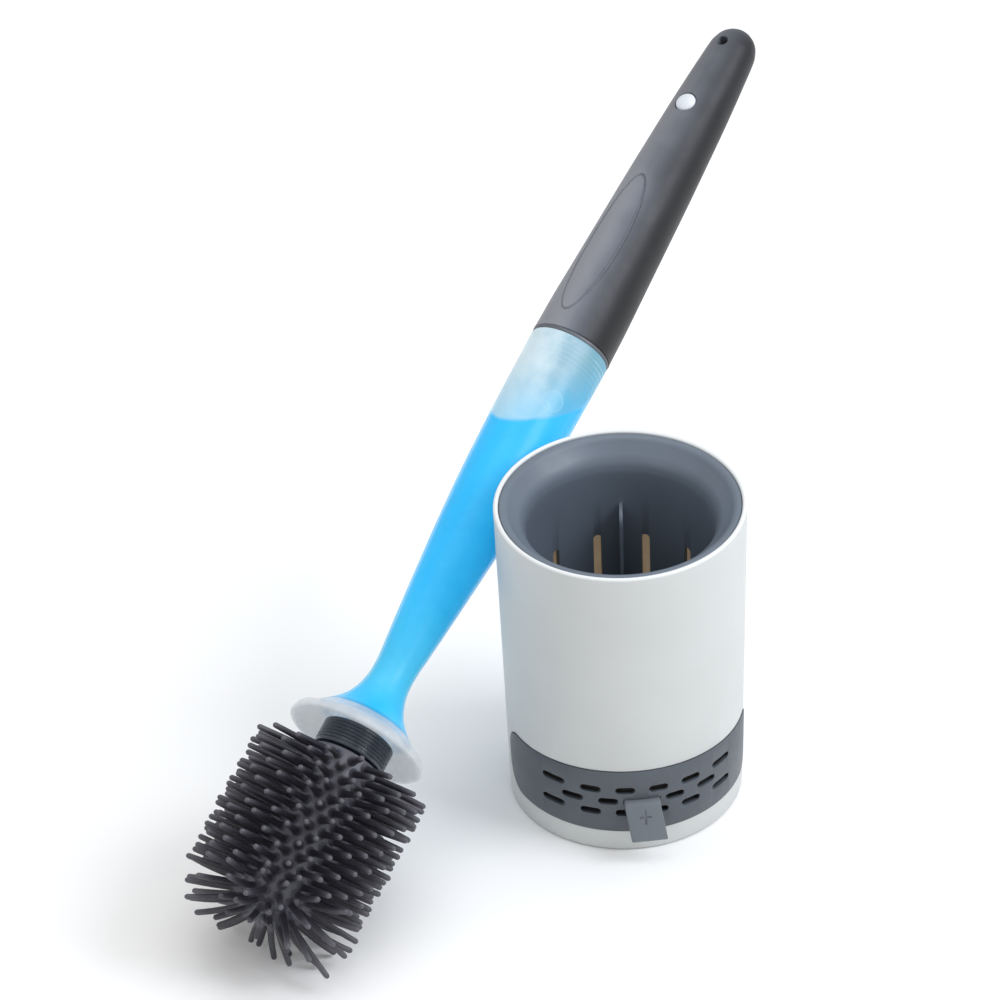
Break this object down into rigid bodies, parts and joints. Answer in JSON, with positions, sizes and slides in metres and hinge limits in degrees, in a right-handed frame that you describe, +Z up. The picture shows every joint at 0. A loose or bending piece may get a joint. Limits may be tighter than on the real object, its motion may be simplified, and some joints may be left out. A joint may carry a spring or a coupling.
{
  "type": "toilet brush holder",
  "caption": "Round floor-standing toilet brush holder with a grey funnel liner and pull-out vented drip tray, and its liquid-filled silicone brush leaning beside it.",
  "frame": {"origin": "on the floor, at the middle of the footprint of the holder and the leaning brush together", "axes": "+Z up; the drip tray pulls out along -Y; +X to the right when facing the tray"},
  "size_m": [0.2774, 0.3408, 0.2293],
  "materials": {
    "shell": "satin white ABS",
    "liner": "satin grey polypropylene",
    "base": "satin white ABS",
    "foot": "matt rubber",
    "tray": "satin grey polypropylene",
    "tab": "matt soft-touch elastomer",
    "bottle": "frosted translucent polypropylene",
    "liquid": "clear blue cleaning liquid",
    "soft_seal": "soft silicone",
    "seal": "translucent soft elastomer",
    "plug": "natural polypropylene",
    "handle": "soft-sheen grey polypropylene",
    "button": "glossy white",
    "spring": "bright spring wire",
    "collar": "dark satin",
    "bristle": "matt dark silicone"
  },
  "bodies": {
    "holder": {"outer_shell": "shell", "inner_liner": "liner", "base_plate": "base", "rubber_foot_1": "foot", "rubber_foot_2": "foot", "rubber_foot_3": "foot", "rubber_foot_4": "foot"},
    "tray": {"drip_tray": "tray", "pull_tab": "tab"},
    "brush": {"bottle": "bottle", "cleaning_liquid": "liquid", "outlet_valve": "soft_seal"},
    "handle_seal": {"handle_seal_ring": "seal"},
    "handle": {"handle_shell": "handle", "handle_screw_plug": "plug", "valve_housing": "plug"},
    "button": {"button_cap": "button", "valve_stem": "plug", "valve_o_ring": "soft_seal", "button_spring": "spring"},
    "head_seal": {"head_washer": "soft_seal"},
    "head": {"head_collar": "collar", "head_core": "plug", "bristle_sleeve": "bristle"}
  },
  "joints": [
    {"name": "tray_slide", "type": "slide", "parent": "holder", "child": "tray", "axis": [0, -1, 0], "range_m": [0, 0.1]},
    {"name": "brush_lift", "type": "slide", "parent": "holder", "child": "brush", "axis": [0, 0, 1], "range_m": [0, 0.18]},
    {"name": "handle_thread_travel", "type": "slide", "parent": "brush", "child": "handle_seal", "axis": [0.5544, 0.7082, 0.4371], "range_m": [0, 0.0174]},
    {"name": "handle_unscrew", "type": "hinge", "parent": "handle_seal", "child": "handle", "pos_m": [-0.06831, -0.09123, 0.06405], "axis": [0.5544, 0.7082, 0.4371], "range_deg": [0, 1260]},
    {"name": "button_press", "type": "slide", "parent": "handle", "child": "button", "axis": [0.3918, 0.2413, -0.8879], "range_m": [0, 0.0025], "stiffness_N_per_m": 300, "springref_m": -0.002},
    {"name": "head_thread_travel", "type": "slide", "parent": "brush", "child": "head_seal", "axis": [-0.5544, -0.7082, -0.4371], "range_m": [0, 0.0124]},
    {"name": "head_unscrew", "type": "hinge", "parent": "head_seal", "child": "head", "pos_m": [-0.06831, -0.09123, 0.06405], "axis": [-0.5544, -0.7082, -0.4371], "range_deg": [0, 900]}
  ],
  "couplings": [
    {"joint": "handle_unscrew", "follows": "handle_thread_travel", "rad_per_m": 1256.6},
    {"joint": "head_unscrew", "follows": "head_thread_travel", "rad_per_m": 1256.6}
  ]
}
